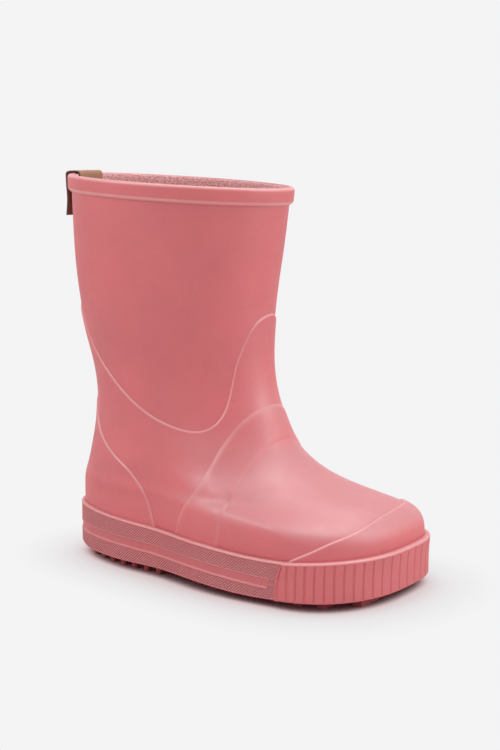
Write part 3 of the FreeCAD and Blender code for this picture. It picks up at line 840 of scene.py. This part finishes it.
def channel(height, x):
    """Depth of the channel at a height above its middle, and its border without knurling."""
    length = smooth_step(x, CHANNEL_FRONT, CHANNEL_FRONT - 0.5)
    floor = smooth_step(height, -3.1, -1.9) * (1 - smooth_step(height, 1.45, 1.7))
    border = smooth_step(height, -3.5, -3.3) * (1 - smooth_step(height, 1.85, 2.0))
    return CHANNEL_DEPTH * floor * length, border * smooth_step(x, CHANNEL_FRONT + 0.6, CHANNEL_FRONT + 0.3)


LIP_RADIUS = 1.05
FOOT_ROWS = np.array([0.0, 0.05, 0.14, 0.3, 0.5, 0.75, 1.0])
CHANNEL_ROWS = np.array([-3.55, -3.3, -3.1, -2.8, -2.5, -2.2, -1.9, -1.7, -1.3, -0.6, 0.3, 1.1, 1.45, 1.57,
                         1.7, 1.85, 2.0])


def wall_section(margin, heights, x, detail_depth):
    """Closed section of the wall at one place: (out, z) rows round it."""
    top = wall_top(x)
    foot = heights[0]
    rounding = 0.9 + 1.6 * smooth_step(x, -72.0, -92.0)
    low = np.clip((rounding - (heights - foot)) / rounding, 0, 1)
    face = margin - rounding * (1 - np.sqrt(1 - low ** 2)) - detail_depth
    turn = np.linspace(0, math.pi / 2, 8)
    lip_outs = margin - LIP_RADIUS * (1 - np.cos(turn))
    lip_zs = top - LIP_RADIUS * (1 - np.sin(turn))
    outs = np.concatenate([[PANEL + 0.1], face, lip_outs, [(margin - LIP_RADIUS + PANEL) / 2, PANEL, PANEL]])
    zs = np.concatenate([[foot], heights, lip_zs, [top + 0.02, top - 0.05, foot + 0.02]])
    return outs, zs


def painted_lip_highlight(rows, heights):
    """Painted highlight for each row of a wall section: only on the lip along its top."""
    pale = np.zeros(rows)
    pale[len(heights) + 2:len(heights) + 9] = 0.3
    return pale


def side_wall():
    """The knurled wall with its channel, from under the bumper round the heel and back."""
    inner, outer, travelled = bumper_ends(WALL_MARGIN)
    along = np.arange(inner - 0.8, outer + 0.8, KNURL_STEP / 6)
    lower = np.linspace(0, 1, 31)[1:-1]
    upper = np.linspace(0, 1, 47)[1:]
    columns = []
    painted_recess_shades, edges = [], []
    for a in along:
        u = np.interp(a, travelled, np.arange(COLUMNS + 1) / COLUMNS)
        x = float(on_surface(s_at_height(13.5), u, WALL_MARGIN)[0])
        foot = FOOT_ROWS + wall_foot(x)
        middle = CHANNEL_ROWS + channel_middle(x)
        knurl_top = wall_top(x) - LIP_RADIUS - 0.35
        heights = np.concatenate([foot, foot[-1] + (middle[0] - foot[-1]) * lower, middle,
                                  middle[-1] + (knurl_top - middle[-1]) * upper, [knurl_top + 0.15]])
        depth, border = channel(heights - channel_middle(x), x)
        fade = smooth_step(heights - foot[0], 0.3, 0.9) * (1 - border) * (heights <= knurl_top + 0.01)
        cut = (knurl(a, heights, x) + 0.06) * fade
        outs, zs = wall_section(WALL_MARGIN, heights, x, depth + cut)
        # painted shade: the knurl's grooves and the channel floor are marked to be darkened
        painted_recess_shade = np.zeros(len(outs))
        painted_recess_shade[1:len(heights) + 1] = 0.55 * cut / KNURL_DEPTH + 0.12 * depth / CHANNEL_DEPTH
        painted_recess_shades.append(painted_recess_shade)
        # painted highlight: the lip and the knurl's ridges are marked to be made pale
        edge = painted_lip_highlight(len(outs), heights)
        edge[1:len(heights) + 1] = 0.5 * np.clip(1 - 2.0 * cut / KNURL_DEPTH, 0, 1) * fade
        edges.append(edge)
        forward = 1.0 if a > travelled[-1] / 2 else -1.0
        end_gap = max(min(a - inner, outer - a), 0.0)
        shift = forward * rear_arc(zs) * (1 - smooth_step(end_gap, 0.0, 14.0))
        us = np.interp(a + shift, travelled, np.arange(COLUMNS + 1) / COLUMNS)
        columns.append(on_surface(s_at_height(zs), us, outs))
    rows = np.array(columns).transpose(1, 0, 2)
    piece = make_piece("side_wall", rows, capped_strip(rows), SOLE)
    paint(piece, "painted_recess_shade", np.array(painted_recess_shades).T)
    paint(piece, "edge", np.array(edges).T)
    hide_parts("foxing_strip")


RIB_PITCH = 4.45            # at the bumper's ends
TOE_RIB_PITCH = 7.15        # at the tip of the toe
RIB_SPREAD = 31.0
RIB_GROOVE_DEPTH = 0.6
RIB_GROOVE_HALF = 0.75
RIB_OFFSETS = (-1.6, -1.1, -0.9, -0.75, -0.6, -0.4, -0.2, 0.0, 0.2, 0.4, 0.6, 0.75, 0.9, 1.1, 1.6)
END_ROWS = (0.0, 0.06, 0.18, 0.36, 0.6)
END_ROUNDING = 0.6


def rib_grooves(reach):
    """Distances of the grooves from the tip of the toe, on one side."""
    grooves = [0.0]
    while True:
        pitch = RIB_PITCH
        for _ in range(3):
            middle = grooves[-1] + pitch / 2
            pitch = RIB_PITCH + (TOE_RIB_PITCH - RIB_PITCH) * math.exp(-(middle / RIB_SPREAD) ** 2)
        if grooves[-1] + pitch > reach - 1.2:
            break
        grooves.append(grooves[-1] + pitch)
    return np.array(grooves)


def toe_wall():
    """The bumper round the toe: upright ribs with V-shaped grooves between them."""
    inner, outer, travelled = bumper_ends(BUMPER_MARGIN)
    total = travelled[-1]
    start, end = outer - total, inner
    grooves = np.concatenate([-rib_grooves(-start)[1:], rib_grooves(end)])
    places = [start + gap for gap in END_ROWS] + [end - gap for gap in END_ROWS]
    places += [groove + offset for groove in grooves for offset in RIB_OFFSETS]
    places = np.array(sorted(a for a in set(places) if start <= a <= end))
    columns = []
    for a in places:
        u = np.interp(a % total, travelled, np.arange(COLUMNS + 1) / COLUMNS)
        x = float(on_surface(s_at_height(13.5), u, BUMPER_MARGIN)[0])
        foot = wall_foot(x)
        rib_top = wall_top(x) - LIP_RADIUS - 0.3
        body = foot + 1.0 + (rib_top - 0.6 - foot - 1.0) * np.linspace(0, 1, 9)[1:]
        heights = np.concatenate([FOOT_ROWS + foot, body, rib_top + np.array([-0.4, -0.2, 0.0, 0.15])])
        nearest = np.min(np.abs(grooves - a))
        deep = RIB_GROOVE_DEPTH * max(0.0, 1 - nearest / RIB_GROOVE_HALF)
        upright = smooth_step(heights - foot, 0.25, 0.8) * (1 - smooth_step(heights, rib_top - 0.5, rib_top))
        end_gap = min(a - start, end - a)
        corner = max(0.0, 1 - end_gap / END_ROUNDING)
        depth = deep * upright + END_ROUNDING * (1 - math.sqrt(1 - corner ** 2))
        outs, zs = wall_section(BUMPER_MARGIN, heights, x, depth)
        forward = 1.0 if a < 0 else -1.0
        shift = forward * rear_arc(zs) * (1 - smooth_step(end_gap, 0.0, 4.5))
        us = np.interp((a + shift) % total, travelled, np.arange(COLUMNS + 1) / COLUMNS)
        columns.append(on_surface(s_at_height(zs), us, outs))
    rows = np.array(columns).transpose(1, 0, 2)
    piece = make_piece("toe_wall", rows, capped_strip(rows), SOLE)
    # painted highlight along the lip of the bumper
    paint(piece, "edge", np.repeat(painted_lip_highlight(len(rows), heights)[:, None], len(places), axis=1))
    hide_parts("toe_bumper")


# ---- pull tab --------------------------------------------------------------------
def tab_path():
    """Middle line of the leather: out from the carcass, drop below the rim, and how flat it is."""
    inside = [(-2.97, drop, 0.0) for drop in np.linspace(18.0, 1.4, 13)]
    over = [(-2.9, 0.5, 0.0), (-2.65, -0.12, 0.0), (-2.2, -0.52, 0.0), (-1.5, -0.72, 0.0), (-0.6, -0.77, 0.1),
            (0.4, -0.77, 0.3), (1.25, -0.7, 0.55), (1.95, -0.42, 0.8), (2.4, 0.02, 0.95), (2.62, 0.6, 1.0)]
    hanging = [(2.66, 1.4, 1.0), (2.66, 3.0, 1.0), (2.66, 5.0, 1.0), (2.62, 7.0, 1.0), (2.45, 9.0, 1.0),
               (2.32, 11.0, 1.0), (2.3, 13.0, 1.0), (2.4, 15.0, 1.0), (2.6, 17.0, 1.0), (2.85, 19.0, 1.0),
               (3.1, 21.0, 1.0), (3.2, 22.0, 1.0)]
    return np.array(inside + over + hanging)


def tab_place():
    """Where the pull tab's middle is round the boot, its turn about Z, and the rim's girth."""
    u = np.linspace(0.4, 0.6, 2001)
    line = on_surface(s_at_height(RIM_HEIGHT), u, 0.0)
    middle = float(np.interp(-TAB_SIDE, -line[:, 1], u))
    before, after = on_surface(s_at_height(RIM_HEIGHT), np.array([middle - 0.001, middle + 0.001]), 0.0)
    step = after - before
    return middle, math.atan2(step[0], -step[1]), float(np.linalg.norm(step)) / 0.002


def leather_tab():
    """One strip of leather: it follows the leg inside, and hangs flat across outside."""
    middle, turn, girth = tab_place()
    path = tab_path()
    tangent = np.gradient(path[:, :2], axis=0)
    tangent /= np.linalg.norm(tangent, axis=1, keepdims=True)
    # With drop measured downwards, this normal points away from the boot's wall.
    normal = np.stack([-tangent[:, 1], tangent[:, 0]], axis=1)
    half = TAB_THICKNESS / 2
    width = TAB_WIDTH / 2
    edge = [(-width + 0.2, -half), (-width + 0.02, -half + 0.18), (-width, 0.0), (-width + 0.02, half - 0.18),
            (-width + 0.2, half)]
    across = np.linspace(-width + 1.2, width - 1.2, 17)
    section = edge + [(y, half) for y in across]
    section += [(-y, -t) for y, t in edge] + [(y, -half) for y in across[::-1]]
    section = np.array(section)
    columns = []
    for (out, drop, flatness), (n_out, n_drop) in zip(path, normal):
        outs = out - section[:, 1] * n_out
        drops = drop - section[:, 1] * n_drop
        around = middle - section[:, 0] / girth
        s = np.array([float(s_under_rim(np.array([u]), d)[0]) for u, d in zip(around, drops)])
        s_middle = np.array([float(s_under_rim(np.array([middle]), d)[0]) for d in drops])
        curved = on_surface(s, around, outs)
        level = on_surface(s_middle, np.full(len(section), middle), outs)
        level[:, 0] -= section[:, 0] * math.sin(turn)
        level[:, 1] += section[:, 0] * math.cos(turn)
        columns.append(curved + (level - curved) * flatness)
    rows = np.array(columns).transpose(1, 0, 2)
    piece = make_piece("leather_tab", rows, capped_strip(rows), LEATHER, body=None)
    near_edge = np.clip((np.abs(section[:, 0]) - width + 0.25) / 0.2, 0, 1)
    cut_edge = np.repeat(near_edge[:, None], len(path), axis=1)
    cut_edge[:, [0, -1]] = 1.0
    # painted light and shade: the face seen over the rim is tan, and it fades to brown where the strip turns
    # down outside
    back = np.where(section[:, 1] > 0, 1.0, 0.0)
    fade = 1 - smooth_step(np.arange(len(path)), 17.0, 21.0)
    paint(piece, "leather_edge", cut_edge)
    paint(piece, "leather_lit_share", back[:, None] * fade[None, :])
    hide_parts("pull_tab_anchor", "pull_tab_tail")
    bend = on_surface(s_at_height(RIM_HEIGHT), middle, np.array([0.3, 1.75])) * MM
    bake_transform(piece)


scene = bpy.context.scene
boot_shell()
panels()
rim_band()
leg_lining()
foot_lining()
footbed()
side_wall()
toe_wall()
leather_tab()

for name, material in (("outsole", TREAD), ("heel_filler", CRUMB), ("forefoot_filler", CRUMB),
                       ("insole_board", BOARD), ("pull_tab_stitches", THREAD)):
    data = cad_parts[name].data
    data.materials.clear()
    data.materials.append(material)


# ---- floor, light and camera -----------------------------------------------------
BACKGROUND = (0.902, 0.902, 0.905)
SOFT_SHADOW = (0.80, 0.775, 0.785)      # of the floor round the boot
CONTACT_SHADOW = (0.62, 0.44, 0.45)     # of the floor at the foot of the sole wall
DEEP_SHADOW = (0.030, 0.004, 0.006)     # of the floor under the sole
FLOOR_BOUNCE = 0.60                     # how much the floor lights the boot from below


def floor():
    """A floor as pale as the background: camera rays see it glow, with painted shadow where the boot hides it
    from the light.
    """
    bpy.ops.mesh.primitive_circle_add(vertices=96, radius=12.0, fill_type="NGON", location=(0, 0, 0))
    plane = bpy.context.object
    plane.name = "floor"
    material, tree, shader, place = new_material("floor", Roughness=0.9)
    shader.inputs["Base Color"].default_value = (FLOOR_BOUNCE, FLOOR_BOUNCE, FLOOR_BOUNCE, 1.0)
    open_share = crevice(tree, 0.04, 1.0)
    near = mixed(tree, remap(tree, open_share, 0.12, 0.36, 0.0, 1.0), DEEP_SHADOW, CONTACT_SHADOW)
    round_it = mixed(tree, remap(tree, open_share, 0.36, 0.72, 0.0, 1.0), near, SOFT_SHADOW)
    shade = mixed(tree, remap(tree, open_share, 0.72, 0.98, 0.0, 1.0), round_it, BACKGROUND)
    seen = node(tree, "ShaderNodeEmission", {"Color": shade, "Strength": 1.0})
    camera_ray = node(tree, "ShaderNodeLightPath").outputs["Is Camera Ray"]
    both = node(tree, "ShaderNodeMixShader", {0: camera_ray, 1: shader.outputs[0], 2: seen.outputs[0]})
    tree.links.new(both.outputs[0], tree.nodes["Material Output"].inputs["Surface"])
    plane.data.materials.append(material)


def area_light(name, place, aim, size, power):
    data = bpy.data.lights.new(name, "AREA")
    data.shape = "DISK"
    data.size = size
    data.energy = power
    light = bpy.data.objects.new(name, data)
    light.location = place
    light.rotation_euler = (Vector(aim) - Vector(place)).to_track_quat("-Z", "Y").to_euler()
    scene.collection.objects.link(light)


FRONT_SIDE = (0.57, -0.80, 0.15)
LIGHTS_AIM = (0.0, 0.0, 0.08)


def studio():
    """White all round, less bright overhead and where the boot is looked at from; soft lights above."""
    world = bpy.data.worlds.new("studio")
    scene.world = world
    world.use_nodes = True
    tree = world.node_tree
    seen = node(tree, "ShaderNodeBackground", {"Color": (*BACKGROUND, 1.0), "Strength": 1.0})
    direction = node(tree, "ShaderNodeTexCoord").outputs["Generated"]
    towards = node(tree, "ShaderNodeVectorMath", {0: direction, 1: FRONT_SIDE}, operation="DOT_PRODUCT")
    lit = tree.nodes["Background"]
    lit.inputs["Color"].default_value = (1.0, 0.985, 0.98, 1.0)
    front = remap(tree, towards.outputs["Value"], 0.2, 0.9, 1.14, 0.98)
    height = node(tree, "ShaderNodeSeparateXYZ", {0: direction}).outputs["Z"]
    overhead = remap(tree, height, 0.15, 0.7, 1.0, 0.45)
    tree.links.new(calculate(tree, "MULTIPLY", front, overhead), lit.inputs["Strength"])
    camera_ray = node(tree, "ShaderNodeLightPath").outputs["Is Camera Ray"]
    both = node(tree, "ShaderNodeMixShader", {0: camera_ray, 1: lit.outputs[0], 2: seen.outputs[0]})
    tree.links.new(both.outputs[0], tree.nodes["World Output"].inputs["Surface"])
    area_light("top", (0.15, 0.25, 1.7), LIGHTS_AIM, 1.6, 17.0)
    area_light("key", (-0.7, -1.0, 1.1), LIGHTS_AIM, 0.6, 6.5)
    area_light("right", (1.4, 0.6, 0.8), LIGHTS_AIM, 1.0, 8.0)


AZIMUTH = math.radians(35.44)
ELEVATION = math.radians(8.30)
DISTANCE = 0.7025
AIM = Vector((0.00922, 0.0, 0.10165))
LENS = 67.2
SENSOR = 36.0


def camera():
    data = bpy.data.cameras.new("camera")
    data.lens = LENS
    data.sensor_width = SENSOR
    data.clip_start = 0.01
    data.clip_end = 50.0
    obj = bpy.data.objects.new("camera", data)
    back = Vector((math.sin(AZIMUTH) * math.cos(ELEVATION), -math.cos(AZIMUTH) * math.cos(ELEVATION),
                   math.sin(ELEVATION)))
    obj.location = AIM + back * DISTANCE
    obj.rotation_euler = (-back).to_track_quat("-Z", "Y").to_euler()
    scene.collection.objects.link(obj)
    scene.camera = obj


floor()
studio()
camera()
scene.view_settings.view_transform = "Standard"
